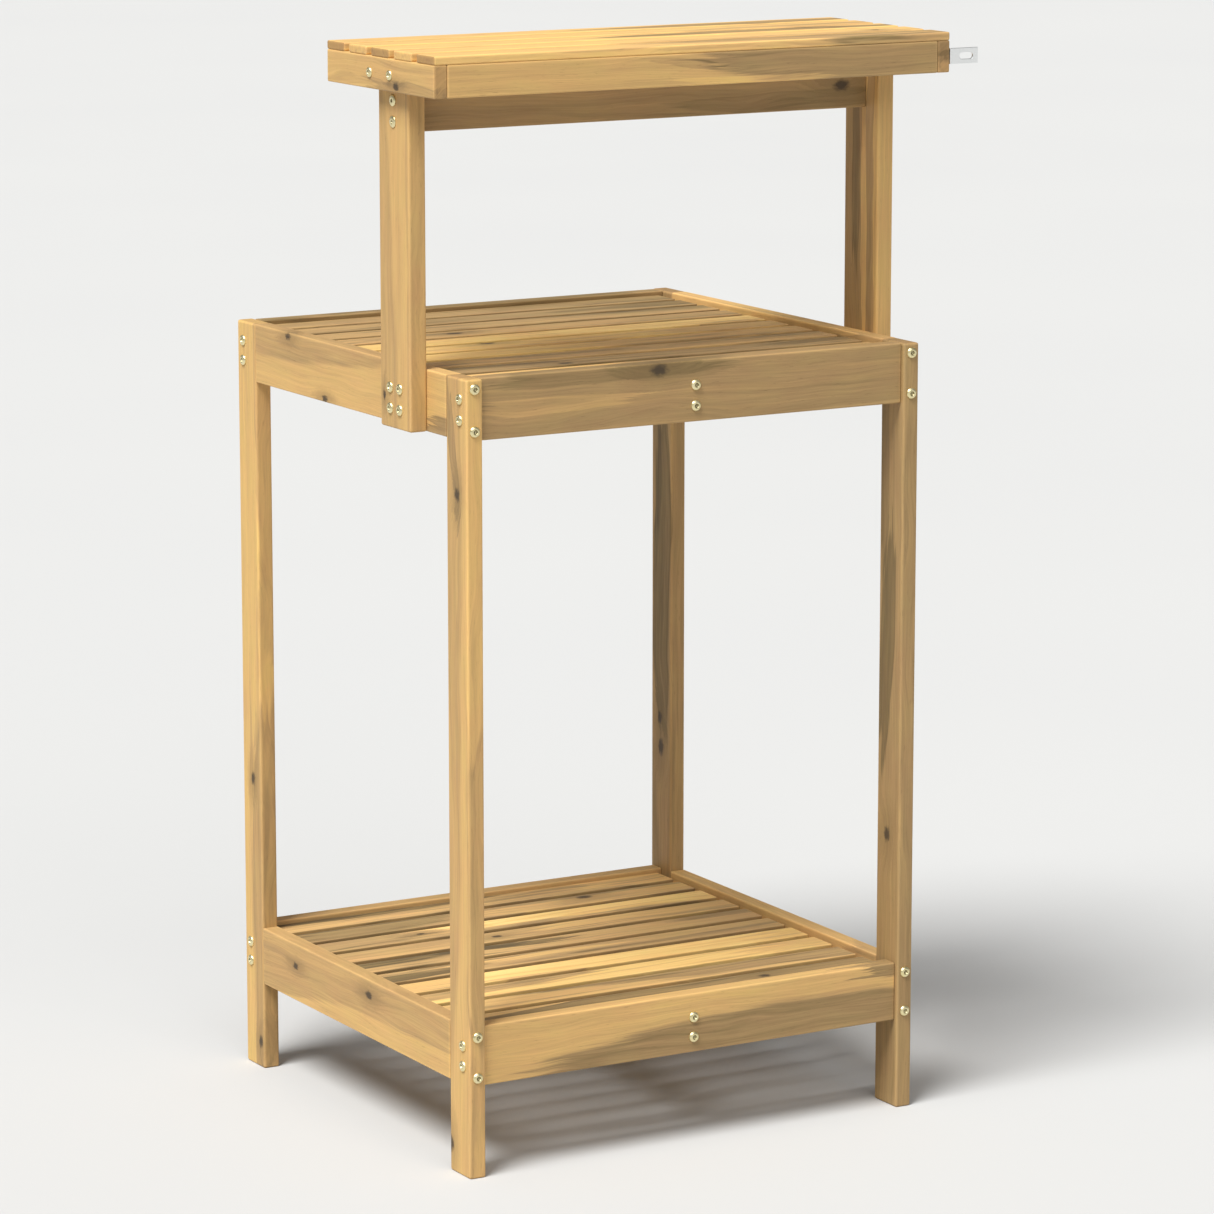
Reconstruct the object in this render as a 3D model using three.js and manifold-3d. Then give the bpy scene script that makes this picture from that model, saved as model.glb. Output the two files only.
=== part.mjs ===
// Slatted hardwood potting bench, in millimetres, +Z up.
// Four legs carry a slatted table top and a slatted lower shelf. Two posts bolted to the
// table's side rails carry a slatted top shelf over its back half, braced by a crossbar.
// -Y is the back, the wall side. -X is the left. The origin is on the floor, at the centre
// of the whole bench's outline with its bolt heads and wall bracket.
import * as THREE from 'three';
import { mergeVertices } from 'three/addons/utils/BufferGeometryUtils.js';
import Module from 'manifold-3d';

// Table frame. Widths run along X, depths along Y and heights along Z.
const TABLE_WIDTH = 553;
const TABLE_DEPTH = 532;
const TABLE_HEIGHT = 850;
const LEG_THICKNESS = 19;
const LEG_BREADTH = 44;
const RAIL_THICKNESS = 19;
const RAIL_HEIGHT = 65;
const APRON_RECESS = 5;
const LOWER_RAIL_BOTTOM = 99;

// Slatted decks of the table and of the lower shelf.
const DECK_SLATS = 10;
const SLAT_BREADTH = 38;
const DECK_SLAT_THICKNESS = 10;
const DECK_RECESS = 5;
const DECK_END_GAP = 6;
const BEARER_THICKNESS = 19;
const BEARER_HEIGHT = 44;
const CLEAT_THICKNESS = 19;
const CLEAT_HEIGHT = 25;

// Posts, crossbar and top shelf.
const POST_THICKNESS = 20;
const POST_BREADTH = 66;
const POST_BACK = 85;
const SHELF_DEPTH = 237;
const SHELF_RAIL_BOTTOM = 1138;
const SHELF_RAIL_HEIGHT = 34;
const SHELF_RAIL_THICKNESS = 15;
const SHELF_SLATS = 5;
const SHELF_SLAT_THICKNESS = 9;
const CROSSBAR_THICKNESS = 19;
const CROSSBAR_HEIGHT = 44;

// Edge easing of the boards.
const BOARD_EASE = 2.5;
const SLAT_EASE = 1.5;

// Button-head bolts, the bracket's screw and the clearance around them.
const BOLT_RADIUS = 3;
const BOLT_HEAD_RADIUS = 6;
const BOLT_HEAD_HEIGHT = 3;
const BOLT_SOCKET_RADIUS = 2;
const BOLT_SOCKET_DEPTH = 1.6;
const BOLT_SIDES = 12;
const FIT_GAP = 0.3;
const LEG_BOLT_SPACING = 44;
const LEG_BOLT_LENGTH = 90;
const SHELF_BOLT_SPACING = 44;
const SHELF_BOLT_LENGTH = 32;
const SCREW_RADIUS = 2;
const SCREW_HEAD_RADIUS = 4;
const SCREW_HEAD_HEIGHT = 2;
const SCREW_LENGTH = 12;

// Steel wall bracket, an angle with one leg along the wall and one on the shelf's end rail.
const BRACKET_THICKNESS = 2;
const BRACKET_HEIGHT = 17;
const BRACKET_WALL_LEG = 36;
const BRACKET_RAIL_LEG = 36;
const BRACKET_SLOT_LENGTH = 17;
const BRACKET_SLOT_WIDTH = 7;
const BRACKET_SLOT_FROM_RAIL = 21;

// Heights and places that follow from the sizes above.
const SHELF_RAIL_TOP = SHELF_RAIL_BOTTOM + SHELF_RAIL_HEIGHT;
const SHELF_RAIL_MIDDLE = SHELF_RAIL_BOTTOM + SHELF_RAIL_HEIGHT / 2;
const SHELF_LEFT = -POST_THICKNESS - SHELF_RAIL_THICKNESS;
const SHELF_RIGHT = TABLE_WIDTH - SHELF_LEFT;
const POST_MIDDLE = POST_BACK + POST_BREADTH / 2;
const BRACKET_BOTTOM = SHELF_RAIL_MIDDLE - BRACKET_HEIGHT / 2;

// The outline's centre on the floor becomes the origin.
const OUTLINE_LEFT = SHELF_LEFT - BOLT_HEAD_HEIGHT - FIT_GAP;
const OUTLINE_RIGHT = SHELF_RIGHT + BRACKET_WALL_LEG;
const ORIGIN_X = (OUTLINE_LEFT + OUTLINE_RIGHT) / 2;
const ORIGIN_Y = TABLE_DEPTH / 2;

const wasm = await Module();
wasm.setup();

const WOOD = { color: 0xc89b5f, roughness: 0.55, metalness: 0 };
const SLAT_WOOD = { color: 0xdcb172, roughness: 0.55, metalness: 0 };
const ZINC = { color: 0xd9d3ad, roughness: 0.3, metalness: 1 };
const STEEL = { color: 0xdcdddd, roughness: 0.35, metalness: 1 };

const bench = new THREE.Group();

function addPiece(name, geometry, look) {
  const mesh = new THREE.Mesh(geometry, new THREE.MeshStandardMaterial(look));
  mesh.name = name;
  bench.add(mesh);
  return mesh;
}

// A board with eased edges, its grain along the longest of its three sizes.
function boardGeometry(size, corner, ease) {
  const along = size.indexOf(Math.max(...size));
  const [across, up] = [size[(along + 1) % 3], size[(along + 2) % 3]];
  const section = new THREE.Shape();
  section.moveTo(ease, 0);
  section.lineTo(across - ease, 0);
  section.lineTo(across, ease);
  section.lineTo(across, up - ease);
  section.lineTo(across - ease, up);
  section.lineTo(ease, up);
  section.lineTo(0, up - ease);
  section.lineTo(0, ease);
  section.closePath();
  const geometry = new THREE.ExtrudeGeometry(section, {
    depth: size[along] - 2 * ease,
    bevelEnabled: true,
    bevelSegments: 1,
    bevelThickness: ease,
    bevelSize: ease,
    bevelOffset: -ease,
  });
  geometry.translate(0, 0, ease);
  // The section's x, y and the extrusion become the board's next two axes and its length.
  const axes = [0, 1, 2].map((i) => new THREE.Vector3().setComponent(i, 1));
  const turn = new THREE.Matrix4().makeBasis(axes[(along + 1) % 3], axes[(along + 2) % 3], axes[along]);
  geometry.applyMatrix4(turn);
  geometry.translate(...corner);
  return geometry;
}

function addBoard(name, size, corner, look = WOOD, ease = BOARD_EASE) {
  return addPiece(name, boardGeometry(size, corner, ease), look);
}

// A closed three.js geometry as a solid that can be cut and joined.
function toSolid(geometry) {
  const bare = geometry.clone();
  bare.deleteAttribute('normal');
  bare.deleteAttribute('uv');
  const merged = mergeVertices(bare);
  const vertProperties = Float32Array.from(merged.attributes.position.array);
  const triVerts = Uint32Array.from(merged.index.array);
  return new wasm.Manifold(new wasm.Mesh({ numProp: 3, vertProperties, triVerts }));
}

function toGeometry(solid) {
  const { vertProperties, triVerts } = solid.getMesh();
  const geometry = new THREE.BufferGeometry();
  geometry.setAttribute('position', new THREE.BufferAttribute(vertProperties, 3));
  geometry.setIndex(new THREE.BufferAttribute(triVerts, 1));
  geometry.computeVertexNormals();
  return geometry;
}

// A turned piece: its profile's y runs along `axis` from `seat`.
function turned(profile, seat, axis) {
  const geometry = new THREE.LatheGeometry(profile, BOLT_SIDES);
  const up = new THREE.Vector3(0, 1, 0);
  geometry.applyQuaternion(new THREE.Quaternion().setFromUnitVectors(up, axis));
  geometry.translate(seat.x, seat.y, seat.z);
  return geometry;
}

// A dome-headed bolt: its shank runs back from the seat, its head stands out along `axis`.
function boltGeometry(seat, axis, radius, length, headRadius, headHeight) {
  const socketFloor = Math.max(FIT_GAP, headHeight - BOLT_SOCKET_DEPTH);
  const socketRadius = headRadius * BOLT_SOCKET_RADIUS / BOLT_HEAD_RADIUS;
  const profile = [
    [0, -length],
    [radius, -length],
    [radius, FIT_GAP],
    [headRadius, FIT_GAP],
    [headRadius * 0.88, headHeight * 0.62],
    [headRadius * 0.58, headHeight + FIT_GAP],
    [socketRadius, headHeight + FIT_GAP],
    [socketRadius, socketFloor],
    [0, socketFloor],
  ];
  return turned(profile.map(([r, y]) => new THREE.Vector2(r, y)), seat, axis);
}

// The hole a bolt needs, a little deeper and wider than its shank.
function holeSolid(seat, axis, radius, length) {
  const hole = [
    [0, -length - FIT_GAP],
    [radius + FIT_GAP, -length - FIT_GAP],
    [radius + FIT_GAP, FIT_GAP],
    [0, FIT_GAP],
  ];
  return toSolid(turned(hole.map(([r, y]) => new THREE.Vector2(r, y)), seat, axis));
}

function drill(mesh, hole) {
  mesh.geometry = toGeometry(toSolid(mesh.geometry).subtract(hole));
}

const SIDES = ['left', 'right'];
const LEFTWARD = new THREE.Vector3(-1, 0, 0);
const RIGHTWARD = new THREE.Vector3(1, 0, 0);
const BACKWARD = new THREE.Vector3(0, -1, 0);
const FORWARD = new THREE.Vector3(0, 1, 0);

// Mirrors a board's start to the other side of the table.
function startX(side, start, width) {
  return side === 'left' ? start : TABLE_WIDTH - start - width;
}

function startY(end, start, depth) {
  return end === 'back' ? start : TABLE_DEPTH - start - depth;
}

// Legs: boards on edge, their breadth along the depth of the bench.
const legs = {};
for (const end of ['back', 'front']) {
  for (const side of SIDES) {
    legs[`${end}_${side}`] = addBoard(
      `leg_${end}_${side}`,
      [LEG_THICKNESS, LEG_BREADTH, TABLE_HEIGHT],
      [startX(side, 0, LEG_THICKNESS), startY(end, 0, LEG_BREADTH), 0],
    );
  }
}

// One frame of two aprons, two side rails, a centre bearer, two cleats and its slats.
function addDeck(level, railBottom) {
  const railTop = railBottom + RAIL_HEIGHT;
  const slatBottom = railTop - DECK_RECESS - DECK_SLAT_THICKNESS;
  const innerWidth = TABLE_WIDTH - 2 * LEG_THICKNESS;
  const innerBack = APRON_RECESS + RAIL_THICKNESS;
  const innerDepth = TABLE_DEPTH - 2 * innerBack;
  for (const end of ['back', 'front']) {
    const y = startY(end, APRON_RECESS, RAIL_THICKNESS);
    addBoard(`${level}_apron_${end}`, [innerWidth, RAIL_THICKNESS, RAIL_HEIGHT], [LEG_THICKNESS, y, railBottom]);
  }
  const rails = {};
  for (const side of SIDES) {
    const depth = TABLE_DEPTH - 2 * LEG_BREADTH;
    const railX = startX(side, 0, RAIL_THICKNESS);
    const cleatX = startX(side, RAIL_THICKNESS, CLEAT_THICKNESS);
    rails[side] = addBoard(
      `${level}_side_rail_${side}`,
      [RAIL_THICKNESS, depth, RAIL_HEIGHT],
      [railX, LEG_BREADTH, railBottom],
    );
    addBoard(
      `${level}_cleat_${side}`,
      [CLEAT_THICKNESS, innerDepth, CLEAT_HEIGHT],
      [cleatX, innerBack, slatBottom - CLEAT_HEIGHT],
      WOOD,
      SLAT_EASE,
    );
  }
  addBoard(
    `${level}_bearer`,
    [BEARER_THICKNESS, innerDepth, BEARER_HEIGHT],
    [(TABLE_WIDTH - BEARER_THICKNESS) / 2, innerBack, slatBottom - BEARER_HEIGHT],
    WOOD,
    SLAT_EASE,
  );
  const slatLength = innerWidth - 2 * DECK_END_GAP;
  const pitch = (innerDepth - SLAT_BREADTH) / (DECK_SLATS - 1);
  for (let i = 0; i < DECK_SLATS; i += 1) {
    addBoard(
      `${level}_slat_${i + 1}`,
      [slatLength, SLAT_BREADTH, DECK_SLAT_THICKNESS],
      [LEG_THICKNESS + DECK_END_GAP, innerBack + i * pitch, slatBottom],
      SLAT_WOOD,
      SLAT_EASE,
    );
  }
  return rails;
}

addDeck('lower', LOWER_RAIL_BOTTOM);
const tableRails = addDeck('table', TABLE_HEIGHT - RAIL_HEIGHT);

// Two bolts through each left leg into the end of the table's left side rail.
const railMiddle = TABLE_HEIGHT - RAIL_HEIGHT / 2;
for (const end of ['back', 'front']) {
  const outward = end === 'back' ? BACKWARD : FORWARD;
  for (const [place, step] of [['lower', -1], ['upper', 1]]) {
    const seat = new THREE.Vector3(
      RAIL_THICKNESS / 2,
      end === 'back' ? 0 : TABLE_DEPTH,
      railMiddle + step * LEG_BOLT_SPACING / 2,
    );
    const bolt = boltGeometry(seat, outward, BOLT_RADIUS, LEG_BOLT_LENGTH, BOLT_HEAD_RADIUS, BOLT_HEAD_HEIGHT);
    addPiece(`leg_bolt_${end}_${place}`, bolt, ZINC);
    const hole = holeSolid(seat, outward, BOLT_RADIUS, LEG_BOLT_LENGTH);
    drill(legs[`${end}_left`], hole);
    drill(tableRails.left, hole);
  }
}

// Posts stand against the outer faces of the table's side rails and reach the shelf slats.
const postBottom = TABLE_HEIGHT - RAIL_HEIGHT;
const posts = {};
for (const side of SIDES) {
  posts[side] = addBoard(
    `post_${side}`,
    [POST_THICKNESS, POST_BREADTH, SHELF_RAIL_TOP - postBottom],
    [startX(side, -POST_THICKNESS, POST_THICKNESS), POST_BACK, postBottom],
  );
}
addBoard(
  'crossbar',
  [TABLE_WIDTH, CROSSBAR_THICKNESS, CROSSBAR_HEIGHT],
  [0, POST_MIDDLE - CROSSBAR_THICKNESS / 2, SHELF_RAIL_BOTTOM - CROSSBAR_HEIGHT],
);

// Top shelf: end rails against the posts' outer faces, long rails between them, slats on top.
const endRails = {};
for (const side of SIDES) {
  endRails[side] = addBoard(
    `shelf_end_rail_${side}`,
    [SHELF_RAIL_THICKNESS, SHELF_DEPTH, SHELF_RAIL_HEIGHT],
    [startX(side, SHELF_LEFT, SHELF_RAIL_THICKNESS), 0, SHELF_RAIL_BOTTOM],
    WOOD,
    SLAT_EASE,
  );
  const outward = side === 'left' ? LEFTWARD : RIGHTWARD;
  for (const [place, step] of [['back', -1], ['front', 1]]) {
    const seat = new THREE.Vector3(
      side === 'left' ? SHELF_LEFT : SHELF_RIGHT,
      POST_MIDDLE + step * SHELF_BOLT_SPACING / 2,
      SHELF_RAIL_MIDDLE,
    );
    const bolt = boltGeometry(seat, outward, BOLT_RADIUS, SHELF_BOLT_LENGTH, BOLT_HEAD_RADIUS, BOLT_HEAD_HEIGHT);
    addPiece(`shelf_bolt_${side}_${place}`, bolt, ZINC);
    const hole = holeSolid(seat, outward, BOLT_RADIUS, SHELF_BOLT_LENGTH);
    drill(endRails[side], hole);
    drill(posts[side], hole);
  }
}
for (const [end, y] of [['back', 0], ['front', SHELF_DEPTH - SHELF_RAIL_THICKNESS]]) {
  addBoard(
    `shelf_long_rail_${end}`,
    [TABLE_WIDTH + 2 * POST_THICKNESS, SHELF_RAIL_THICKNESS, SHELF_RAIL_HEIGHT],
    [-POST_THICKNESS, y, SHELF_RAIL_BOTTOM],
    WOOD,
    SLAT_EASE,
  );
}
const shelfPitch = (SHELF_DEPTH - SLAT_BREADTH) / (SHELF_SLATS - 1);
for (let i = 0; i < SHELF_SLATS; i += 1) {
  addBoard(
    `shelf_slat_${i + 1}`,
    [SHELF_RIGHT - SHELF_LEFT, SLAT_BREADTH, SHELF_SLAT_THICKNESS],
    [SHELF_LEFT, i * shelfPitch, SHELF_RAIL_TOP],
    SLAT_WOOD,
    SLAT_EASE,
  );
}

// Wall bracket: an angle in plan, extruded up, with a level slot in the leg along the wall.
function addBracket() {
  const railFace = SHELF_RIGHT + FIT_GAP;
  const plan = new THREE.Shape();
  plan.moveTo(railFace, 0);
  plan.lineTo(SHELF_RIGHT + BRACKET_WALL_LEG, 0);
  plan.lineTo(SHELF_RIGHT + BRACKET_WALL_LEG, BRACKET_THICKNESS);
  plan.lineTo(railFace + BRACKET_THICKNESS, BRACKET_THICKNESS);
  plan.lineTo(railFace + BRACKET_THICKNESS, BRACKET_RAIL_LEG);
  plan.lineTo(railFace, BRACKET_RAIL_LEG);
  plan.closePath();
  const angle = new THREE.ExtrudeGeometry(plan, { depth: BRACKET_HEIGHT, bevelEnabled: false });
  angle.translate(0, 0, BRACKET_BOTTOM);

  const end = BRACKET_SLOT_WIDTH / 2;
  const reach = BRACKET_SLOT_LENGTH / 2 - end;
  const slot = new THREE.Shape();
  slot.absarc(reach, 0, end, -Math.PI / 2, Math.PI / 2, false);
  slot.absarc(-reach, 0, end, Math.PI / 2, 1.5 * Math.PI, false);
  slot.closePath();
  const cutter = new THREE.ExtrudeGeometry(slot, {
    depth: 3 * BRACKET_THICKNESS,
    bevelEnabled: false,
    curveSegments: 8,
  });
  cutter.rotateX(Math.PI / 2);
  cutter.translate(SHELF_RIGHT + BRACKET_SLOT_FROM_RAIL, 2 * BRACKET_THICKNESS, SHELF_RAIL_MIDDLE);

  const seat = new THREE.Vector3(
    railFace + BRACKET_THICKNESS,
    (BRACKET_THICKNESS + BRACKET_RAIL_LEG) / 2,
    SHELF_RAIL_MIDDLE,
  );
  const hole = holeSolid(seat, RIGHTWARD, SCREW_RADIUS, SCREW_LENGTH);
  const cut = toSolid(angle).subtract(toSolid(cutter)).subtract(hole);
  addPiece('wall_bracket', toGeometry(cut), STEEL);
  drill(endRails.right, hole);
  const screw = boltGeometry(seat, RIGHTWARD, SCREW_RADIUS, SCREW_LENGTH, SCREW_HEAD_RADIUS, SCREW_HEAD_HEIGHT);
  addPiece('bracket_screw', screw, STEEL);
}

addBracket();

// Everything above is measured from the back left leg's outer foot corner.
bench.position.set(-ORIGIN_X, -ORIGIN_Y, 0);
const part = new THREE.Group();
part.add(bench);

export default part;
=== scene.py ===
"""Looks for the potting bench: oiled acacia boards, yellow-zinc bolts and a bright steel wall bracket."""

import math
import random

import bmesh
import bpy
from mathutils import Matrix, Vector


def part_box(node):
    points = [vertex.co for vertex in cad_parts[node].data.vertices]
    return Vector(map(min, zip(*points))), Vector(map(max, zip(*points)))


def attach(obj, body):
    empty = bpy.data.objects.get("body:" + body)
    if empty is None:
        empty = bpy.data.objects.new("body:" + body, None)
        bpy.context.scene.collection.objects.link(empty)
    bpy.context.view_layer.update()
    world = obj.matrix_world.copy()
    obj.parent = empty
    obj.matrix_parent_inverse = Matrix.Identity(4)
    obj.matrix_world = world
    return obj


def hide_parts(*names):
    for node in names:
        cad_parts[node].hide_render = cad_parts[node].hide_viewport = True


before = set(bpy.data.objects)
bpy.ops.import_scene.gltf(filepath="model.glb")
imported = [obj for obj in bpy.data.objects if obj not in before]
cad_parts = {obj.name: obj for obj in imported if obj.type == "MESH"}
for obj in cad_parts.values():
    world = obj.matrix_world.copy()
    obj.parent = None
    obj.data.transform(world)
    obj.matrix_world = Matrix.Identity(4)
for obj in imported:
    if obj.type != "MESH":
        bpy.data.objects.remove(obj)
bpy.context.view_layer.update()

# Sizes written here are in millimetres, while Blender and the frame work in metres.
MM = 0.001
# One seeded source for every chance choice, so that each run gives the same bench.
DRAW = random.Random(11)


# ---------------------------------------------------------------- material helpers


def linear(colour):
    """The linear RGBA of an sRGB hex colour."""
    channels = [int(colour[i : i + 2], 16) / 255 for i in (0, 2, 4)]
    return [c / 12.92 if c <= 0.04045 else ((c + 0.055) / 1.055) ** 2.4 for c in channels] + [1]


def add(tree, kind, inputs=(), **settings):
    """Adds a node with its settings, and links or sets its inputs, given in order, by name or by number."""
    node = tree.nodes.new("ShaderNode" + kind)
    for name, value in settings.items():
        setattr(node, name, value)
    for name, value in (inputs if isinstance(inputs, dict) else dict(enumerate(inputs))).items():
        if isinstance(value, bpy.types.Node):
            value = value.outputs[0]
        if isinstance(value, bpy.types.NodeSocket):
            tree.links.new(value, node.inputs[name])
        else:
            node.inputs[name].default_value = value
    return node


# A colour Mix node's inputs, and its output.
SHARE, FIRST, SECOND = 0, 6, 7
MIXED = 2


def empty_material(name):
    """A new material with an empty node tree, and that tree."""
    material = bpy.data.materials.new(name)
    material.use_nodes = True
    material.node_tree.nodes.clear()
    return material, material.node_tree


# ---------------------------------------------------------------- wood

# Wood depth runs from bright sapwood (below 0) through brown heartwood (1) to grey-brown streaks (2).
DEPTHS = (
    (-0.8, "f1cc84"),
    (-0.4, "e7be74"),
    (0.0, "dbb272"),
    (0.5, "c7a16a"),
    (1.0, "a88a5e"),
    (1.5, "88714a"),
    (2.2, "605138"),
)
# How strongly each pattern acts, the first four in mm and the others in steps of depth or in lightness.
# Noise lies round 0.5, so a pattern that goes both ways has half of its strength taken off again.
GRAIN_DRIFT = 24
RAGGED_RIM = 7
UNEVEN_RIM = 2
FLAME_LENGTH = 220
WAVY_BORDER = 0.4
BORDER_DEPTH = 0.28
BAND_DEPTH = 0.9
CLOUD_DEPTH = 0.3
FIBRE_LIGHT = 0.44
PORE_LIGHT = -0.17
# Rounded edges go paler, partly from handling wear and partly as a painted highlight.
WEAR_AND_HIGHLIGHT = 0.13
STAIN_SHARE = 0.42
PORE_RELIEF = -1.4

ZONES = ("zone_a", "zone_b", "zone_c")
KNOTS = ("knot_a", "knot_b")

# What every board tells the wood material, as attributes on its mesh: a point's place from the board's
# middle and its place in the log, half the board's size, where the pith lies, its tone (lightness,
# strength of the streaks, depth), its shade and cut (the painted shade on its long sides, the darkness
# of its ends and of its knots), and its knots and zones.
OWN = ("place", "grain", "half", "pith", "tone", "cut", *KNOTS, *ZONES, *(z + "_size" for z in ZONES))


def knot_fields(tree, own):
    """Small knots, ovals along the grain with a ragged rim and a longer stain: how far a point is inside
    a core and inside a stain, and how many millimetres the grain bows out there."""
    # The rim wanders in steps of about 6 mm along the grain and 3 mm across it.
    ragged = add(tree, "VectorMath", (own["grain"], (0.16, 0.3, 0.3)), operation="MULTIPLY")
    ragged = add(tree, "TexNoise", {"Vector": ragged, "Scale": 1, "Detail": 3, "Roughness": 0.6})
    ragged = add(tree, "Math", (ragged, RAGGED_RIM, -RAGGED_RIM / 2), operation="MULTIPLY_ADD")
    cores = []
    halos = []
    swells = []
    for name in KNOTS:
        size = add(tree, "SeparateXYZ", [own[name]]).outputs["Z"]
        away = add(tree, "VectorMath", (own["place"], own[name]), operation="SUBTRACT")
        # A core fades from 0.35 to 1.05 of the knot's size, and a stain from 0.5 to 3.2 of it.
        for found, squeeze, full, none in ((cores, 0.62, 0.35, 1.05), (halos, 0.4, 0.5, 3.2)):
            reach = add(tree, "VectorMath", (away, (squeeze, 1, 0)), operation="MULTIPLY")
            reach = add(tree, "VectorMath", [reach], operation="LENGTH").outputs["Value"]
            reach = add(tree, "Math", (reach, ragged), operation="ADD")
            reach = add(tree, "Math", (reach, size), operation="DIVIDE")
            found.append(add(tree, "MapRange", (reach, full, none, 1, 0), interpolation_type="SMOOTHSTEP"))
        swells.append(add(tree, "Math", (halos[-1], size), operation="MULTIPLY"))
    core = add(tree, "Math", cores, operation="MAXIMUM")
    halo = add(tree, "Math", halos, operation="MAXIMUM")
    swell = add(tree, "Math", swells, operation="MAXIMUM")
    return core, halo, swell


def growth_rings(tree, own, wandered, swell):
    """Where a point lies in the log: its distance from the pith, which is outside the board, its place
    along the board, and the board's own seed. The rings swell round the knots."""
    radius = add(tree, "VectorMath", (wandered, own["pith"]), operation="SUBTRACT")
    radius = add(tree, "VectorMath", (radius, (0, 1, 1)), operation="MULTIPLY")
    radius = add(tree, "VectorMath", [radius], operation="LENGTH").outputs["Value"]
    radius = add(tree, "Math", (swell, 1.3, radius), operation="MULTIPLY_ADD")
    along = add(tree, "SeparateXYZ", [own["place"]]).outputs["X"]
    seed = add(tree, "SeparateXYZ", [own["pith"]]).outputs["X"]
    return add(tree, "CombineXYZ", (radius, along, seed))


def add_zones(tree, own, wandered, bands, depth):
    """Sapwood and heartwood zones, added to the wood's depth. Each one is a long oval with a wavy border,
    deeper just inside it, and streaks like flames about 50 mm long at its ends."""
    flames = add(tree, "Math", (bands, FLAME_LENGTH, -FLAME_LENGTH / 2), operation="MULTIPLY_ADD")
    waves = add(tree, "Math", (bands, WAVY_BORDER, -WAVY_BORDER / 2), operation="MULTIPLY_ADD")
    for name in ZONES:
        strength = add(tree, "SeparateXYZ", [own[name]]).outputs["Z"]
        half_length, half_width, slope = add(tree, "SeparateXYZ", [own[name + "_size"]]).outputs
        away = add(tree, "VectorMath", (wandered, own[name]), operation="SUBTRACT")
        gone, across, _ = add(tree, "SeparateXYZ", [away]).outputs
        rise = add(tree, "Math", (gone, slope), operation="MULTIPLY")
        across = add(tree, "Math", (across, rise), operation="SUBTRACT")
        gone = add(tree, "Math", [gone], operation="ABSOLUTE")
        gone = add(tree, "Math", (gone, flames), operation="ADD")
        gone = add(tree, "Math", (gone, 0), operation="MAXIMUM")
        gone = add(tree, "Math", (gone, half_length), operation="DIVIDE")
        across = add(tree, "Math", (across, half_width), operation="DIVIDE")
        reach = add(tree, "CombineXYZ", (gone, across, 0))
        reach = add(tree, "VectorMath", [reach], operation="LENGTH").outputs["Value"]
        reach = add(tree, "Math", (reach, waves), operation="ADD")
        inside = add(tree, "MapRange", (reach, 0.86, 1.06, 1, 0), interpolation_type="SMOOTHSTEP")
        border = add(tree, "MapRange", (reach, 0.66, 0.95), interpolation_type="SMOOTHSTEP")
        border = add(tree, "Math", (inside, border), operation="MULTIPLY")
        shape = add(tree, "Math", (border, BORDER_DEPTH, inside), operation="MULTIPLY_ADD")
        depth = add(tree, "Math", (shape, strength, depth), operation="MULTIPLY_ADD")
    return depth


def depth_colours(tree, depth):
    """The wood's colour at each depth."""
    lowest, highest = DEPTHS[0][0], DEPTHS[-1][0]
    depth = add(tree, "MapRange", (depth, lowest, highest))
    ramp = add(tree, "ValToRGB", [depth])
    stops = ramp.color_ramp.elements
    while len(stops) < len(DEPTHS):
        stops.new(0.5)
    for stop, (at, colour) in zip(stops, DEPTHS):
        stop.position = (at - lowest) / (highest - lowest)
        stop.color = linear(colour)
    return ramp


def edge_fields(tree, own, mottle):
    """How near a point is to the board's end, to its side, and to its rounded edges, which are paler partly
    from wear and partly as a painted highlight.
    """
    inward = add(tree, "VectorMath", [own["place"]], operation="ABSOLUTE")
    inward = add(tree, "VectorMath", (own["half"], inward), operation="SUBTRACT")
    from_end, from_side, from_face = add(tree, "SeparateXYZ", [inward]).outputs
    on_end = add(tree, "MapRange", (from_end, 0.4, 1.5, 1, 0), interpolation_type="SMOOTHSTEP")
    on_side = add(tree, "MapRange", (from_side, 0.1, 1.0, 1, 0), interpolation_type="SMOOTHSTEP")

    # The nearest edge is as far as the middle one of the distances to the faces.
    least = add(tree, "Math", (from_end, from_side), operation="MINIMUM")
    least = add(tree, "Math", (least, from_face), operation="MINIMUM")
    most = add(tree, "Math", (from_end, from_side), operation="MAXIMUM")
    most = add(tree, "Math", (most, from_face), operation="MAXIMUM")
    rim = add(tree, "VectorMath", (inward, (1, 1, 1)), operation="DOT_PRODUCT").outputs["Value"]
    rim = add(tree, "Math", (rim, least), operation="SUBTRACT")
    rim = add(tree, "Math", (rim, most), operation="SUBTRACT")
    uneven = add(tree, "Math", (mottle, UNEVEN_RIM, -UNEVEN_RIM / 2), operation="MULTIPLY_ADD")
    rim = add(tree, "Math", (rim, uneven), operation="ADD")
    worn_and_highlit = add(tree, "MapRange", (rim, 0.8, 3.6, 1, 0), interpolation_type="SMOOTHSTEP")
    return on_end, on_side, worn_and_highlit


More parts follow.
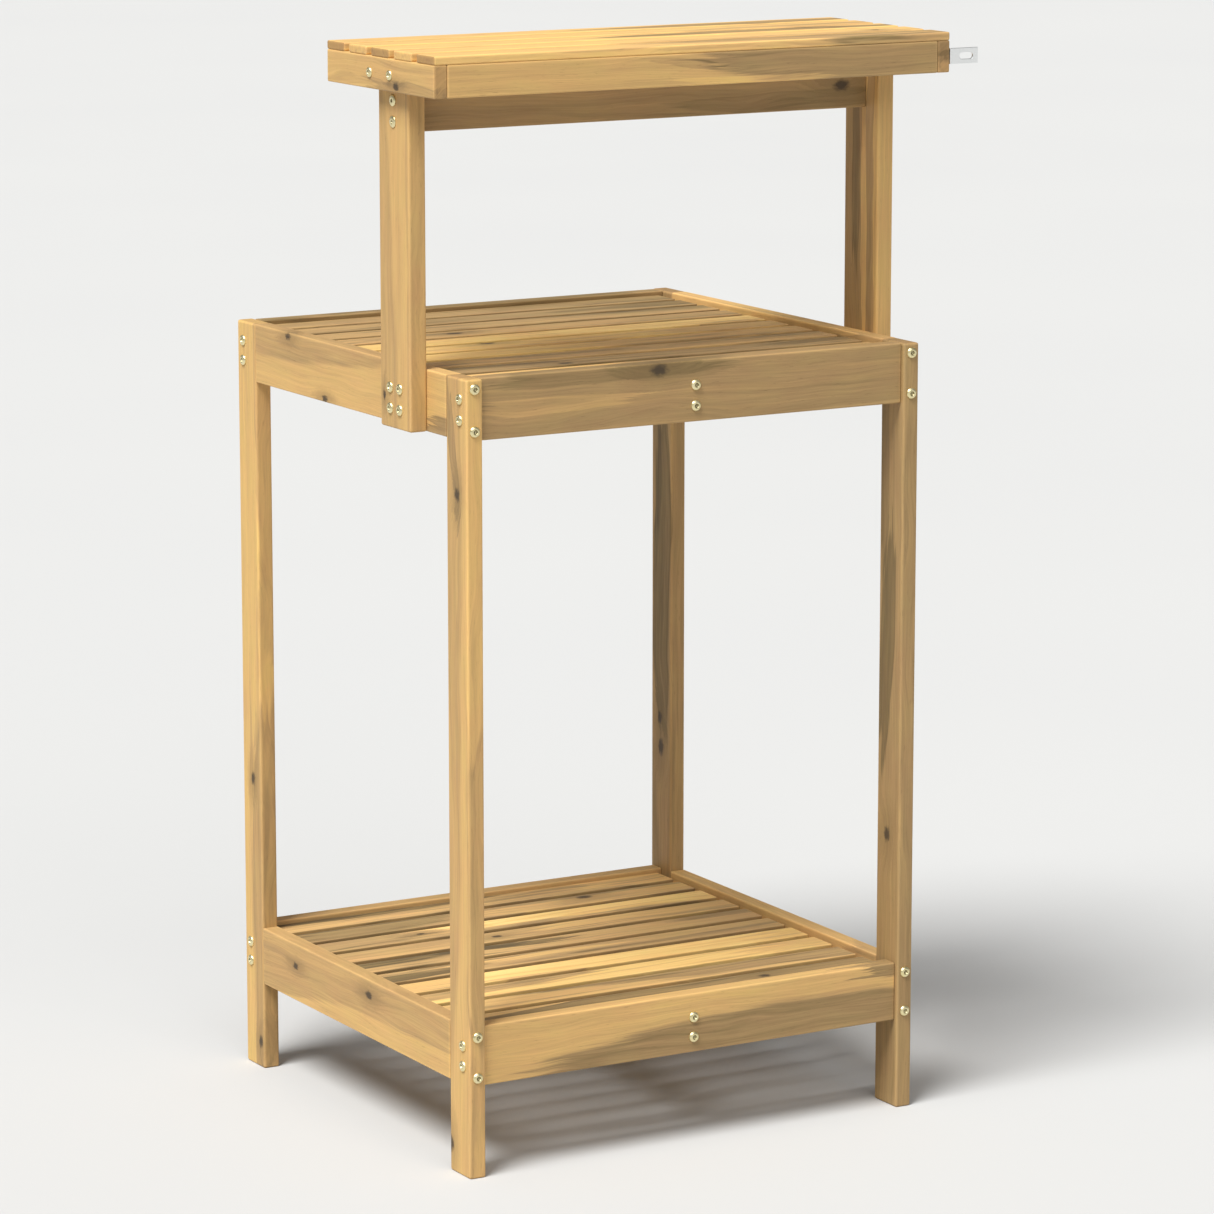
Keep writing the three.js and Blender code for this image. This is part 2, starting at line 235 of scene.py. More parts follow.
def oiled_acacia():
    """Acacia, planed, eased and oiled: honey sapwood against browner heartwood with a soft wavy border,
    straight fibres, short dark pores, small dark knots that bend the grain, and paler rounded edges, partly
    from handling wear and partly a painted highlight. The slats' long sides carry painted shade.
    Every pattern reads the board's own attributes, in millimetres: x along the grain, y across it and
    z through the board. Each board has its own stretch of the grain and its own zones and knots."""
    material, tree = empty_material("oiled_acacia")
    own = {name: add(tree, "Attribute", attribute_name=name).outputs["Vector"] for name in OWN}
    place = own["place"]
    grain = own["grain"]
    light, streaked, base = add(tree, "SeparateXYZ", [own["tone"]]).outputs
    side_cut, end_cut, knot_dark = add(tree, "SeparateXYZ", [own["cut"]]).outputs

    # The grain wanders about 5 mm to each side over a hand's length, and stays put along the board.
    drift = add(tree, "VectorMath", (grain, (1 / 190, 1 / 60, 1 / 60)), operation="MULTIPLY")
    drift = add(tree, "TexNoise", {"Vector": drift, "Scale": 1, "Detail": 2}).outputs["Color"]
    drift = add(tree, "VectorMath", (drift, (0.5, 0.5, 0.5)), operation="SUBTRACT")
    drift = add(tree, "VectorMath", (drift, (0, GRAIN_DRIFT, GRAIN_DRIFT)), operation="MULTIPLY")
    wandered = add(tree, "VectorMath", (place, drift), operation="ADD")
    core, halo, swell = knot_fields(tree, own)
    rings = growth_rings(tree, own, wandered, swell)

    # Soft bands about 5 mm wide and 300 mm long that follow the rings.
    bands = add(tree, "VectorMath", (rings, (1 / 5.5, 1 / 300, 1)), operation="MULTIPLY")
    bands = add(tree, "TexNoise", {"Vector": bands, "Scale": 1, "Detail": 4, "Roughness": 0.68})

    # Fibres about 1.3 mm wide, drawn coarser than the real 0.2 mm so that they show.
    fibres = add(tree, "VectorMath", (rings, (1 / 1.3, 1 / 90, 1)), operation="MULTIPLY")
    fibres = add(tree, "TexNoise", {"Vector": fibres, "Scale": 1, "Detail": 3, "Roughness": 0.65})

    # Cloudy mottling, a few centimetres across.
    mottle = add(tree, "VectorMath", (grain, (1 / 55, 1 / 22, 1 / 22)), operation="MULTIPLY")
    mottle = add(tree, "TexNoise", {"Vector": mottle, "Scale": 1, "Detail": 3, "Roughness": 0.55})

    # Open pores: short dark dashes, about 9 mm long and 0.8 mm wide.
    pores = add(tree, "VectorMath", (grain, (1 / 11, 1.1, 1.1)), operation="MULTIPLY")
    pores = add(tree, "TexNoise", {"Vector": pores, "Scale": 1, "Detail": 1})
    pores = add(tree, "MapRange", (pores, 0.64, 0.8), interpolation_type="SMOOTHSTEP")

    # Long grey-brown mineral streaks, about 4 mm wide, from the board's own stretch of the log.
    stretch = add(tree, "VectorMath", (grain, place), operation="SUBTRACT")
    streaks = add(tree, "VectorMath", (wandered, (1 / 260, 1 / 8, 1 / 8), stretch), operation="MULTIPLY_ADD")
    streaks = add(tree, "TexNoise", {"Vector": streaks, "Scale": 1, "Detail": 2})
    streaks = add(tree, "MapRange", (streaks, 0.5, 0.72), interpolation_type="SMOOTHSTEP")
    depth = add(tree, "Math", (streaks, streaked, base), operation="MULTIPLY_ADD")
    banding = add(tree, "Math", (bands, BAND_DEPTH, -BAND_DEPTH / 2), operation="MULTIPLY_ADD")
    depth = add(tree, "Math", (depth, banding), operation="ADD")
    clouding = add(tree, "Math", (mottle, CLOUD_DEPTH, -CLOUD_DEPTH / 2), operation="MULTIPLY_ADD")
    depth = add(tree, "Math", (depth, clouding), operation="ADD")

    depth = add_zones(tree, own, wandered, bands, depth)
    on_end, on_side, worn_and_highlit = edge_fields(tree, own, mottle)

    # Lightness: fine fibres, dark pores, rounded edges paler partly from wear and partly as a painted
    # highlight, and painted shade on the slats' long sides, which show in the gaps between slats.
    shade = add(tree, "Math", (fibres, FIBRE_LIGHT, 1 - FIBRE_LIGHT / 2), operation="MULTIPLY_ADD")
    shade = add(tree, "Math", (shade, light), operation="MULTIPLY")
    shade = add(tree, "Math", (pores, PORE_LIGHT, shade), operation="MULTIPLY_ADD")
    on_side = add(tree, "Math", (on_side, side_cut), operation="MULTIPLY")
    worn_and_highlit = add(tree, "Math", (worn_and_highlit, on_side), operation="SUBTRACT")
    shade = add(tree, "Math", (worn_and_highlit, WEAR_AND_HIGHLIGHT, shade), operation="MULTIPLY_ADD")
    shade = add(tree, "Math", (on_side, -1, shade), operation="MULTIPLY_ADD")
    colour = add(tree, "VectorMath", {0: depth_colours(tree, depth), "Scale": shade}, operation="SCALE")

    # Some stretches of the wood are rosier, and others more olive.
    mix = {SHARE: mottle, FIRST: (0.92, 1.0, 0.94, 1), SECOND: (1.08, 0.99, 1.03, 1)}
    tint = add(tree, "Mix", mix, data_type="RGBA").outputs[MIXED]
    colour = add(tree, "VectorMath", (colour, tint), operation="MULTIPLY")

    # End grain drinks more oil and goes browner; knots have a brown stain round a dark core.
    on_end = add(tree, "Math", (on_end, end_cut), operation="MULTIPLY")
    mix = {SHARE: on_end, FIRST: colour, SECOND: linear("84603f")}
    colour = add(tree, "Mix", mix, data_type="RGBA").outputs[MIXED]
    halo = add(tree, "Math", (halo, STAIN_SHARE), operation="MULTIPLY")
    mix = {SHARE: halo, FIRST: colour, SECOND: linear("7a6341")}
    colour = add(tree, "Mix", mix, data_type="RGBA").outputs[MIXED]
    core = add(tree, "Math", (core, knot_dark), operation="MULTIPLY")
    mix = {SHARE: core, FIRST: colour, SECOND: linear("42372a")}
    colour = add(tree, "Mix", mix, data_type="RGBA").outputs[MIXED]

    # Fibres stand up by a quarter of a millimetre at most, and pores are sunk.
    relief = add(tree, "Math", (pores, PORE_RELIEF, fibres), operation="MULTIPLY_ADD")
    bump = add(tree, "Bump", {"Height": relief, "Strength": 0.4, "Distance": 0.25 * MM})
    surface = {
        "Base Color": colour,
        "Roughness": add(tree, "MapRange", (fibres, 0.3, 0.7, 0.62, 0.5)),
        "Normal": bump,
        "IOR": 1.45,
        "Specular IOR Level": 0.3,
    }
    add(tree, "OutputMaterial", {"Surface": add(tree, "BsdfPrincipled", surface)})
    return material


# ---------------------------------------------------------------- metals


def yellow_zinc():
    """Steel with yellow-passivated zinc plating: pale gold, bright, with soft cloudy reflections, and painted
    shade darkening the socket."""
    material, tree = empty_material("yellow_zinc_plate")
    where = add(tree, "TexCoord").outputs["Object"]
    cloud = add(tree, "TexNoise", {"Vector": where, "Scale": 260, "Detail": 3})
    mix = {SHARE: cloud, FIRST: linear("decf8f"), SECOND: linear("f7eecb")}
    colour = add(tree, "Mix", mix, data_type="RGBA").outputs[MIXED]
    # Painted shade: the socket's walls and floor are mixed towards a dark olive brown.
    socket = add(tree, "Attribute", attribute_name="socket").outputs["Fac"]
    mix = {SHARE: socket, FIRST: colour, SECOND: linear("6d6142")}
    surface = {
        "Base Color": add(tree, "Mix", mix, data_type="RGBA").outputs[MIXED],
        "Roughness": add(tree, "MapRange", (cloud, 0.3, 0.7, 0.3, 0.42)),
        "Metallic": 1,
    }
    add(tree, "OutputMaterial", {"Surface": add(tree, "BsdfPrincipled", surface)})
    return material


def bright_sheet_steel():
    """Cold-rolled sheet steel with bright zinc: nearly white, satin, with fine rolling lines."""
    material, tree = empty_material("bright_sheet_steel")
    where = add(tree, "TexCoord").outputs["Object"]
    lines = add(tree, "Mapping", {"Vector": where, "Scale": (60, 60, 2400)})
    rolled = add(tree, "TexNoise", {"Vector": lines, "Scale": 1, "Detail": 2})
    mix = {SHARE: rolled, FIRST: linear("eceeee"), SECOND: linear("fbfcfc")}
    surface = {
        "Base Color": add(tree, "Mix", mix, data_type="RGBA").outputs[MIXED],
        "Roughness": add(tree, "MapRange", (rolled, 0.3, 0.7, 0.16, 0.26)),
        "Metallic": 1,
    }
    add(tree, "OutputMaterial", {"Surface": add(tree, "BsdfPrincipled", surface)})
    return material


ACACIA = oiled_acacia()
ZINC = yellow_zinc()
SHEET = bright_sheet_steel()


# ---------------------------------------------------------------- boards

# How each board is figured, in millimetres from the board's middle: its own depth, then
# its zones (x, y, half length, half width, slope, added depth) and its knots (x, y, radius).
# Part of these depths and zones is painted light: the paler zones at the right of lower slats 7 to 10, and
# the paler bases and zones of table slats 3 to 6, lighten the wood where the shadows of the table and of the
# top shelf fall.
FIGURE_AND_PAINTED_LIGHT = {
    "table_apron_back": (
        0.92,
        ((-110, 30, 125, 13, 0, 0.35), (-20, 28, 60, 14, 0, 0.25), (-185, 0, 100, 8, 0, -0.3)),
        ((-45, 25, 8.5),),
    ),
    "lower_apron_back": (
        0.1,
        ((140, -42, 335, 50, 0, 0.95), (252, 32, 36, 16, 0, 1.0), (-120, 26, 200, 5, 0, -0.15)),
        (),
    ),
    "table_side_rail_left": (
        0.05,
        ((110, 36, 290, 32, -0.07, 0.5), (-215, -28, 40, 12, 0, 0.9)),
        ((141, 28, 5), (53, -29, 5)),
    ),
    "lower_side_rail_left": (
        0.5,
        ((-100, -36, 340, 32, -0.05, -0.5), (120, 26, 160, 6, 0, -0.2)),
        ((-37, 15, 6), (140, 7, 5)),
    ),
    "shelf_end_rail_left": (0.1, ((-60, -14, 90, 12, 0, 0.55),), ((-35, -11, 5),)),
    "shelf_long_rail_back": (
        0.12,
        ((240, 4, 245, 26, -0.03, 0.8), (-13, 8, 45, 5, -0.08, 0.4), (60, -13, 90, 7, 0, -0.4)),
        (),
    ),
    "crossbar": (0.95, ((200, -10, 160, 10, 0, 0.25),), ((244, 3, 8),)),
    "post_left": (
        0.05,
        ((-30, 44, 420, 46, 0.09, 0.42), (60, -36, 400, 9, 0, 0.35)),
        ((-160, 24, 4),),
    ),
    "post_right": (
        0.8,
        ((0, -8, 170, 5, 0, -0.8), (50, 8, 120, 8, 0.03, 0.5), (0, -36, 190, 12, 0, -0.75)),
        (),
    ),
    "leg_back_left": (
        0.0,
        ((210, 27, 600, 35, 0, 0.45), (345, 10, 75, 7, 0.15, 0.5), (-200, -27, 320, 9, 0, 0.5)),
        ((303, -1, 6), (-395, 19, 7)),
    ),
    "leg_back_right": (
        0.95,
        ((90, 4, 140, 14, -0.03, 0.6), (300, 12, 120, 10, 0, 0.3)),
        ((-120, 2, 7),),
    ),
    "leg_front_left": (
        -0.2,
        ((-260, -24, 270, 26, 0, 0.75), (-150, 4, 160, 4, 0, 0.3), (220, -27, 300, 9, 0, 0.4)),
        ((-92, -3, 6), (-395, -14, 6)),
    ),
    "leg_front_right": (
        0.8,
        ((90, 0, 210, 20, 0, 0.65), (250, 12, 120, 10, 0, 0.3)),
        ((-115, 0, 8), (-80, 3, 6)),
    ),
    "table_side_rail_right": (0.0, ((-215, 20, 60, 30, 0, 0.6), (60, -24, 260, 12, 0, 0.4)), ()),
    "lower_side_rail_right": (0.1, ((-215, 20, 60, 30, 0, 0.5), (60, -24, 260, 12, 0, 0.5)), ()),
    "table_apron_front": (0.95, ((40, -20, 240, 16, 0.02, 0.3), (-60, 26, 320, 9, 0, 0.35)), ((-70, 27, 5),)),
    "lower_apron_front": (0.5, ((-60, 10, 260, 14, -0.03, 0.45), (150, -18, 120, 9, 0, -0.3)), ()),
    "table_slat_1": (-0.15, ((190, 0, 260, 34, 0, 0.9), (-140, -20, 125, 8, 0, 0.4)), ((-33, -16, 7),)),
    "table_slat_2": (1.0, ((-215, 9, 100, 9, 0, 0.5), (210, 5, 90, 10, 0, 0.4)), ((-112, -8, 7),)),
    "table_slat_3": (0.65, ((-215, -3, 100, 10, 0, -0.3), (100, -16, 130, 7, 0, -0.3)), ()),
    "table_slat_4": (-0.45, ((250, 0, 300, 34, 0, 0.65), (200, 6, 70, 5, 0, -0.3)), ()),
    "table_slat_5": (-0.35, ((370, 0, 290, 36, 0, 0.5),), ((-112, 16, 8),)),
    "table_slat_6": (-0.4, ((205, -17, 42, 7, 0, 0.9), (210, 4, 230, 30, 0, -0.4)), ()),
    "table_slat_7": (0.55, ((60, 14, 130, 7, 0, 0.2), (220, -4, 120, 20, 0, 0.2)), ((-105, 2, 8),)),
    "table_slat_8": (
        0.85,
        ((150, -12, 180, 6, 0, -0.2), (200, 12, 170, 12, 0, 0.5), (-215, 0, 90, 20, 0, -0.2)),
        (),
    ),
    "table_slat_9": (
        1.1,
        ((205, 6, 150, 18, 0, 0.4), (100, 12, 60, 5, 0, -0.3), (-220, 4, 90, 16, 0, -0.4)),
        (),
    ),
    "table_slat_10": (0.95, ((-150, -12, 130, 7, 0, -0.2), (220, 6, 210, 26, 0, 0.25)), ()),
    "lower_slat_1": (1.35, ((-215, 15, 120, 7, 0.04, -1.1), (60, -19, 190, 3, 0, -0.6)), ((115, 3, 6),)),
    "lower_slat_2": (0.25, ((160, 12, 420, 24, -0.06, 0.7), (-120, -14, 170, 4, 0, -0.2)), ()),
    "lower_slat_3": (-0.65, ((-195, 17, 190, 20, 0.02, 1.3), (262, 5, 110, 34, 0, 0.6)), ()),
    "lower_slat_4": (
        -0.65,
        ((-110, -20, 110, 4, 0, 0.9), (275, -4, 90, 34, 0, 0.4), (-235, 0, 70, 30, 0, 0.7)),
        (),
    ),
    "lower_slat_5": (
        0.68,
        ((-235, -3, 110, 12, 0, 1.1), (110, -7, 170, 5, 0, 0.3), (-70, 6, 110, 6, 0, -0.5)),
        (),
    ),
    "lower_slat_6": (
        0.62,
        ((-235, 11, 170, 12, 0, 1.0), (-75, 10, 85, 10, -0.05, 1.0), (285, 10, 150, 12, -0.03, 0.45)),
        (),
    ),
    "lower_slat_7": (0.75, ((-210, -13, 130, 5, 0, -0.3), (210, 4, 210, 26, 0, -0.5)), ((-57, 0, 5),)),
    "lower_slat_8": (
        0.55,
        ((175, 6, 285, 24, -0.03, -1.25), (265, -18, 130, 7, 0, 0.3), (-220, 0, 110, 22, 0, 0.35)),
        ((-125, 3, 5),),
    ),
    "lower_slat_9": (0.95, ((-190, 4, 150, 22, 0, 0.35), (140, -2, 210, 18, 0, -0.65)), ((118, 9, 8),)),
    "lower_slat_10": (
        0.65,
        ((-195, 20, 230, 12, -0.03, 1.0), (250, 4, 110, 24, 0, -0.55), (-150, -10, 160, 6, 0, -0.3)),
        (),
    ),
    "shelf_slat_1": (-0.2, ((240, -4, 290, 20, -0.04, 0.85),), ()),
    "shelf_slat_2": (-0.2, ((130, -18, 200, 8, 0, 0.7),), ((258, -5, 4),)),
    "shelf_slat_3": (-0.2, ((160, 2, 230, 13, 0, 1.3),), ()),
    "shelf_slat_4": (-0.2, ((230, -10, 150, 10, 0, 0.6),), ()),
    "shelf_slat_5": (-0.2, ((210, -5, 240, 14, 0, 1.15),), ()),
}
# Far off the board, for a board with fewer zones or knots than the material draws.
NO_ZONE = (0, 9000, 10, 10, 0, 0)
NO_KNOT = (0, 9000, 1)

# A board's lightness, the painted shade on its long sides, which show only in the gaps between slats, and
# the radius of its rounded edges in mm: each by the first of these words that the board's name holds.
LIGHTNESS = (
    ("shelf_slat", 1.0),
    # The decks' lightness is partly painted light: the lower slats are set lighter, as if well lit, and the
    # table slats darker, as if in the top shelf's shade.
    ("lower_slat", 1.02),
    ("table_slat", 0.97),
    ("side_rail_right", 1.0),
    ("", 0.86),
)
SLAT_GAP_SHADE = (("table_slat", 0.22), ("lower_slat", 0.36), ("", 0))
EDGE_RADIUS = (("leg", 2.4), ("post", 2.4), ("shelf_slat", 1.7), ("_slat", 1.1), ("", 1.6))

# Slats have pale and brown sawn ends by turns: first the even ones' darkness, then the odd ones'.
SLAT_END_DARKNESS = (0.22, 0.68)
KNOT_DARKNESS = 0.9


def by_word(table, node):
    """The value beside the first word of the table that the node's name holds."""
    return next(value for word, value in table if word in node)


def plain_figure(half_length, half_width):
    """A figure for a board that needs no particular one: a broad heartwood zone, and now and then a knot."""
    side = DRAW.choice((-1, 1))
    wide = (DRAW.uniform(-0.6, 0.6) * half_length, side * half_width, half_length * 1.1, half_width * 1.2)
    thin = (DRAW.uniform(-0.8, 0.8) * half_length, DRAW.uniform(-1, 1) * half_width, 120, half_width * 0.25)
    zones = ((*wide, DRAW.uniform(-0.04, 0.04), 0.6), (*thin, 0, DRAW.choice((-0.4, 0.5))))
    knot = (DRAW.uniform(-0.8, 0.8) * half_length, DRAW.uniform(-0.7, 0.7) * half_width, DRAW.uniform(4, 7))
    return DRAW.uniform(0.1, 0.6), zones, (knot,) if DRAW.random() < 0.4 else ()


def finish_piece(bm, name, material, node=None):
    """Turns a bmesh into a piece with its material, riding on the bench, in place of a CAD node if given."""
    mesh = bpy.data.meshes.new(name)
    bm.to_mesh(mesh)
    bm.free()
    mesh.materials.append(material)
    piece = bpy.data.objects.new(name, mesh)
    bpy.context.scene.collection.objects.link(piece)
    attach(piece, "root")
    if node:
        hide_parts(node)
    return piece


def give(mesh, name, values):
    """Puts a vector on every point of the mesh: one for all, or one for each."""
    if not isinstance(values, list):
        values = [values] * len(mesh.vertices)
    layer = mesh.attributes.new(name, "FLOAT_VECTOR", "POINT")
    layer.data.foreach_set("vector", [part for value in values for part in value])


def board(node):
    """A board with rounded edges in the place of a CAD board, with its own stretch of grain."""
    is_slat = "_slat_" in node
    low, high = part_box(node)
    size = high - low
    centre = (high + low) / 2
    axes = sorted(range(3), key=lambda i: -size[i])
    half = [size[i] / 2 / MM for i in axes]
    bm = bmesh.new()
    bmesh.ops.create_cube(bm, size=1, matrix=Matrix.Translation(centre) @ Matrix.Diagonal((*size, 1)))
    ease = by_word(EDGE_RADIUS, node) * MM
    bmesh.ops.bevel(bm, geom=bm.edges[:], offset=ease, affect="EDGES", segments=3, profile=0.5, material=-1)
    mesh = finish_piece(bm, node + "_board", ACACIA, node).data
    depth, zones, knots = FIGURE_AND_PAINTED_LIGHT[node] if node in FIGURE_AND_PAINTED_LIGHT else plain_figure(half[0], half[1])

    # Each board comes from its own part of the log, with the pith 45 to 110 mm to one side of it.
    offset = [DRAW.uniform(0, 4000) for _ in range(3)]
    own = [[(vert.co[i] - centre[i]) / MM for i in axes] for vert in mesh.vertices]
    give(mesh, "place", own)
    give(mesh, "grain", [[part + shift for part, shift in zip(point, offset)] for point in own])
    give(mesh, "half", tuple(half))
    pith = (DRAW.uniform(0, 90), DRAW.choice((-1, 1)) * DRAW.uniform(45, 110), DRAW.uniform(15, 60))
    give(mesh, "pith", pith)

    # Slats are streaky, and the frame's boards are calmer.
    streaks = DRAW.uniform(0.5, 0.8) if is_slat else DRAW.uniform(0.15, 0.35)
    give(mesh, "tone", (by_word(LIGHTNESS, node) * DRAW.uniform(0.98, 1.02), streaks, depth))
    ends = DRAW.uniform(0.15, 0.4)
    if is_slat:
        ends = SLAT_END_DARKNESS[int(node[-1]) % 2]
    give(mesh, "cut", (by_word(SLAT_GAP_SHADE, node), ends, KNOT_DARKNESS))
    zones = [*zones, NO_ZONE, NO_ZONE, NO_ZONE]
    for name, (x, y, half_length, half_width, slope, added) in zip(ZONES, zones):
        give(mesh, name, (x, y, added))
        give(mesh, name + "_size", (half_length, half_width, slope))
    for name, knot in zip(KNOTS, [*knots, NO_KNOT, NO_KNOT]):
        give(mesh, name, knot)


for node in sorted(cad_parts):
    if "bolt" not in node and "bracket" not in node:
        board(node)


# ---------------------------------------------------------------- bolts

# Bolt heads, in mm. A head's outside goes by rings from the seat up, each with its height and its
# radius. Its hexagon socket goes by rings down, each with half its width across flats and its fall.
HEAD_RADIUS = 6.0
DOMED = ((0.5, 6.0), (1.1, 5.85), (1.75, 5.4), (2.35, 4.6), (2.75, 3.6))
DOMED_SOCKET = ((2.45, 0.0), (2.2, -0.3), (2.05, -2.1))
FLAT = ((0.5, 6.4), (1.0, 6.25), (1.5, 5.5), (1.8, 4.2), (1.95, 2.9))
FLAT_SOCKET = ((1.8, 0.0), (1.7, -0.3), (1.6, -1.3))
# How far painted shade darkens a socket's walls and floor.
SOCKET_PAINTED_SHADE = 0.6

# Where the bolts sit, in mm. Each leg has a pair into the side rail, above and below the frame's middle,
# and a closer pair into the apron, set in from the leg's back or front face. The bearers' pairs sit a
# little below the aprons' middle. Each post has two rows of two at its foot and one above the other at
# its head, and the top shelf's end rails have one to each side of their middle.
RAIL_BOLTS = (("lower", -22), ("upper", 22))
APRON_BOLTS = (("lower", -11), ("upper", 11))
APRON_BOLT_INSET = 14.5
BEARER_BOLTS = (("lower", -15.5), ("upper", 6.5))
POST_ROWS = (("lower", 21), ("upper", 43))
POST_COLUMNS = (("back", -10.5), ("front", 10.5))
POST_HEAD_DROP = 88
SHELF_BOLTS = (("back", -22), ("front", 22))
SHELF_BOLT_SIZE = 0.9


def button_head(name, seat, axis, node=None, flat=False, size=1):
    """A domed button head 12 mm across with a hexagon socket, standing 2.75 mm proud of its seat. A flat
    one is a low connector head with a small socket. The seat is a point in mm."""
    bm = bmesh.new()
    socket = bm.verts.layers.float.new("socket")
    bmesh.ops.create_circle(bm, cap_ends=True, radius=HEAD_RADIUS, segments=24)
    face = next(iter(bm.faces))
    top = 0
    reach = HEAD_RADIUS
    for rise, wide in FLAT if flat else DOMED:
        face = bmesh.ops.extrude_discrete_faces(bm, faces=[face])["faces"][0]
        bmesh.ops.translate(bm, vec=(0, 0, rise - top), verts=list(face.verts))
        bmesh.ops.scale(bm, vec=(wide / reach, wide / reach, 1), verts=list(face.verts))
        top, reach = rise, wide
    for flats, fall in FLAT_SOCKET if flat else DOMED_SOCKET:
        face = bmesh.ops.extrude_discrete_faces(bm, faces=[face])["faces"][0]
        bmesh.ops.translate(bm, vec=(0, 0, fall), verts=list(face.verts))
        for vert in face.verts:
            angle = math.atan2(vert.co.y, vert.co.x)
            out = flats / math.cos((angle % (math.pi / 3)) - math.pi / 6)
            vert.co.x = out * math.cos(angle)
            vert.co.y = out * math.sin(angle)
            # Painted shade on the socket's walls and floor, none on its rim.
            vert[socket] = SOCKET_PAINTED_SHADE if fall else 0
    turned = Vector((0, 0, 1)).rotation_difference(Vector(axis)).to_matrix().to_4x4()
    turned = turned @ Matrix.Rotation(DRAW.uniform(0, math.pi), 4, "Z") @ Matrix.Scale(size * MM, 4)
    bmesh.ops.transform(bm, matrix=Matrix.Translation(Vector(seat) * MM) @ turned, verts=bm.verts)
    bmesh.ops.recalc_face_normals(bm, faces=bm.faces)
    piece = finish_piece(bm, name, ZINC, node)
    for polygon in piece.data.polygons:
        polygon.use_smooth = True


def box_in_mm(node):
    """A CAD node's lowest corner, its highest corner and its middle, in mm."""
    low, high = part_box(node)
    return low / MM, high / MM, (low + high) / 2 / MM


OUTWARD = {"left": (-1, 0, 0), "right": (1, 0, 0), "back": (0, -1, 0), "front": (0, 1, 0)}
for leg in ("back_left", "back_right", "front_left", "front_right"):
    depthwise, sideways = leg.split("_")
    low, high, middle = box_in_mm("leg_" + leg)
    face_y = low.y if depthwise == "back" else high.y
    face_x = low.x if sideways == "left" else high.x
    near_y = face_y + (APRON_BOLT_INSET if depthwise == "back" else -APRON_BOLT_INSET)
    for level in ("table", "lower"):
        height = box_in_mm(f"{level}_apron_{depthwise}")[2].z
        for end, rise in RAIL_BOLTS:
            node = f"leg_bolt_{depthwise}_{end}"
            is_cad = sideways == "left" and level == "table"
            name = f"{leg}_{level}_{end}_rail_bolt"
            button_head(name, (middle.x, face_y, height + rise), OUTWARD[depthwise], node if is_cad else None)
        for end, rise in APRON_BOLTS:
            name = f"{leg}_{level}_{end}_apron_bolt"
            button_head(name, (face_x, near_y, height + rise), OUTWARD[sideways])

for side in ("back", "front"):
    for level in ("table", "lower"):
        low, high, middle = box_in_mm(f"{level}_apron_{side}")
        face_y = low.y if side == "back" else high.y
        for end, rise in BEARER_BOLTS:
            name = f"{level}_bearer_{side}_{end}_bolt"
            button_head(name, (middle.x, face_y, middle.z + rise), OUTWARD[side])

for side in ("left", "right"):
    low, high, middle = box_in_mm("post_" + side)
    face_x = low.x if side == "left" else high.x
    for row, rise in POST_ROWS:
        for column, shift in POST_COLUMNS:
            name = f"post_foot_{side}_{row}_{column}_bolt"
            button_head(name, (face_x, middle.y + shift, low.z + rise), OUTWARD[side])
        name = f"post_head_{side}_{row}_bolt"
        button_head(name, (face_x, middle.y, high.z - POST_HEAD_DROP + rise), OUTWARD[side], flat=True)
    low, high, middle = box_in_mm("shelf_end_rail_" + side)
    face_x = low.x if side == "left" else high.x
    for column, shift in SHELF_BOLTS:
        seat = (face_x, middle.y + shift, middle.z)
        name = f"shelf_{side}_{column}_rail_bolt"
        button_head(name, seat, OUTWARD[side], f"shelf_bolt_{side}_{column}", size=SHELF_BOLT_SIZE)


# ---------------------------------------------------------------- wall bracket


def eased_copy(node, name, material, ease):
    """A CAD node's own shape with its doubles merged, its flats joined and its sharp edges rounded."""
    same_place = 0.01 * MM
    same_flat = math.radians(2)
    sharp_turn = math.radians(40)
    bm = bmesh.new()
    bm.from_mesh(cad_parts[node].data)
    bmesh.ops.remove_doubles(bm, verts=bm.verts, dist=same_place)
    bmesh.ops.dissolve_limit(bm, angle_limit=same_flat, verts=bm.verts, edges=bm.edges)
    sharp = [edge for edge in bm.edges if edge.calc_face_angle(0) > sharp_turn]
    bmesh.ops.bevel(bm, geom=sharp, offset=ease * MM, affect="EDGES", segments=2, profile=0.5, material=-1)
    return finish_piece(bm, name, material, node)


eased_copy("wall_bracket", "wall_bracket_plate", SHEET, ease=0.35)
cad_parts["bracket_screw"].data.materials.clear()
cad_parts["bracket_screw"].data.materials.append(ZINC)


# ---------------------------------------------------------------- stage, light and camera


def soft_sun(name, towards, strength, spread):
    """A distant lamp that stands in the direction `towards`, as wide in the sky as `spread` degrees."""
    light = bpy.data.lights.new(name, "SUN")
    light.energy = strength
    light.angle = math.radians(spread)
    rig = bpy.data.objects.new(name, light)
    rig.rotation_euler = Vector(towards).to_track_quat("Z", "Y").to_euler()
    bpy.context.scene.collection.objects.link(rig)


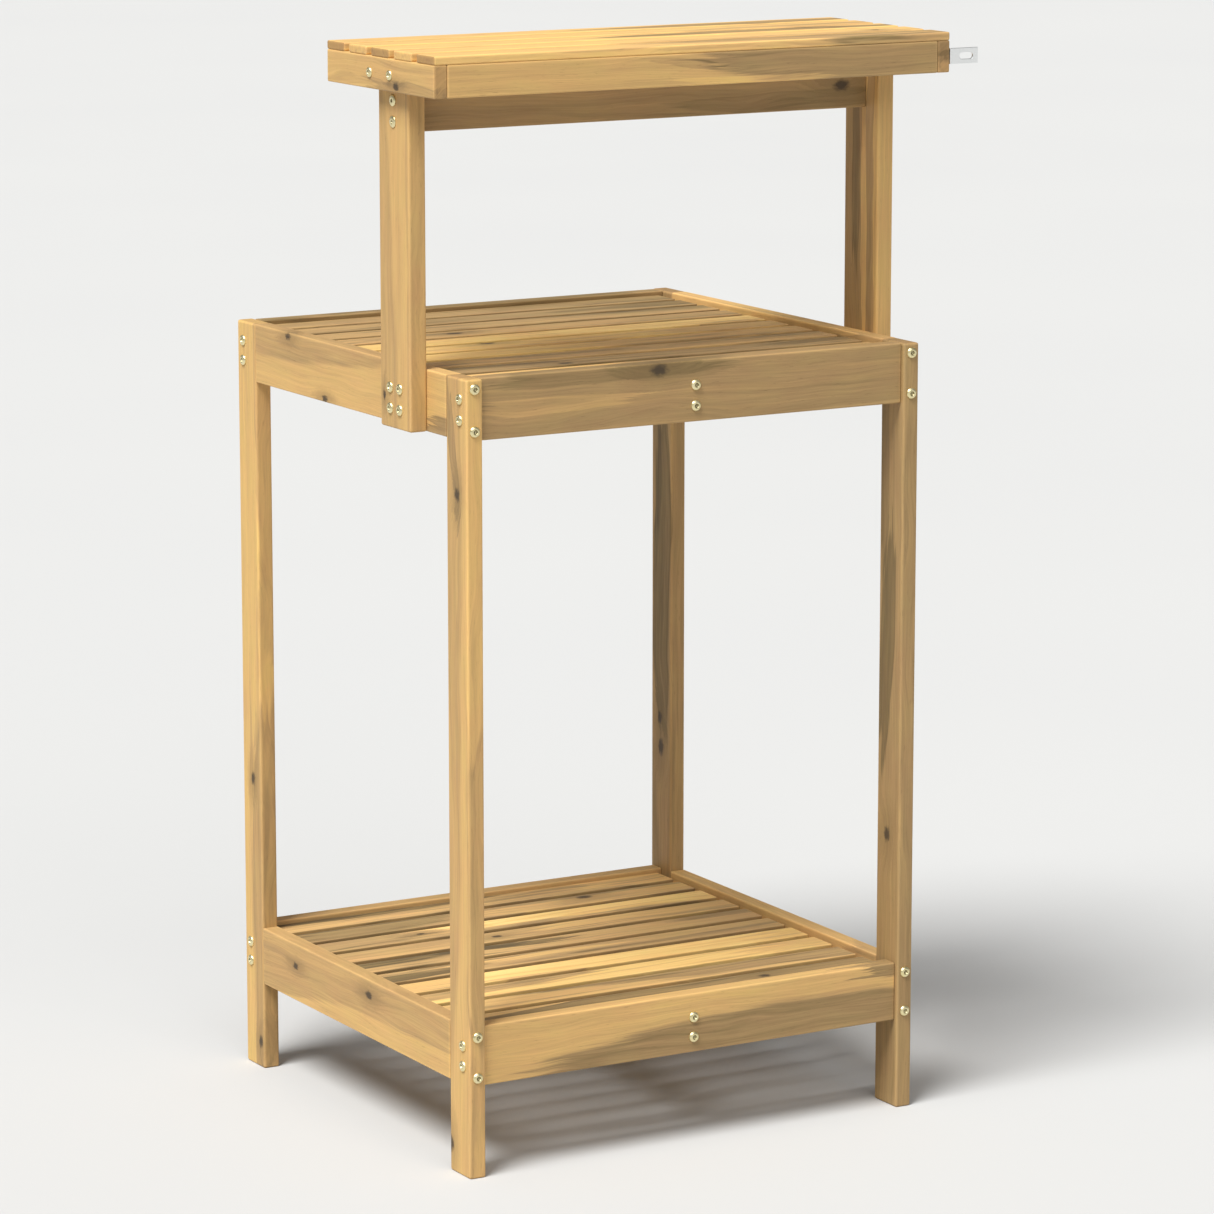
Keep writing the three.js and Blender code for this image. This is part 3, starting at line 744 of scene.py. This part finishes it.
def pale_floor(half_width):
    """Matt pale studio floor: nearly white, with the faintest unevenness. Its half width is in metres."""
    material, tree = empty_material("pale_floor")
    where = add(tree, "TexCoord").outputs["Object"]
    cloud = add(tree, "TexNoise", {"Vector": where, "Scale": 0.8, "Detail": 1})
    mix = {SHARE: cloud, FIRST: linear("c5c5c4"), SECOND: linear("c8c8c6")}
    colour = add(tree, "Mix", mix, data_type="RGBA").outputs[MIXED]
    shader = add(tree, "BsdfPrincipled", {"Base Color": colour, "Roughness": 0.9})
    add(tree, "OutputMaterial", {"Surface": shader})
    bm = bmesh.new()
    bmesh.ops.create_grid(bm, x_segments=1, y_segments=1, size=half_width)
    mesh = bpy.data.meshes.new("floor")
    bm.to_mesh(mesh)
    bm.free()
    mesh.materials.append(material)
    floor = bpy.data.objects.new("floor", mesh)
    bpy.context.scene.collection.objects.link(floor)


pale_floor(half_width=40)
soft_sun("key", towards=(-0.5, -0.2, 0.84), strength=4.2, spread=28)
soft_sun("fill", towards=(-0.1, -0.77, 0.63), strength=0.8, spread=40)

# The studio's soft light from all round. Seen directly, its walls are as pale as the floor.
world = bpy.data.worlds.new("studio")
world.use_nodes = True
tree = world.node_tree
tree.nodes.clear()
soft = add(tree, "Background", {"Color": (1, 1, 1, 1), "Strength": 0.25})
walls = add(tree, "Background", {"Color": (1, 1, 0.995, 1), "Strength": 0.85})
seen = add(tree, "LightPath").outputs["Is Camera Ray"]
add(tree, "OutputWorld", {"Surface": add(tree, "MixShader", (seen, soft, walls))})
bpy.context.scene.world = world
bpy.context.scene.view_settings.view_transform = "Standard"

# A long lens, 30 degrees to the left of the bench's back and looking 11 degrees down.
TURNED = 30.011
LOOKS_DOWN = 10.929
camera = bpy.data.objects.new("camera", bpy.data.cameras.new("camera"))
camera.data.lens = 152.95
camera.data.sensor_width = 36
camera.data.clip_end = 100
camera.location = (-2.77661, -4.85356, 1.62098)
camera.rotation_euler = (math.radians(90 - LOOKS_DOWN), 0, math.radians(-TURNED))
bpy.context.scene.collection.objects.link(camera)
bpy.context.scene.camera = camera
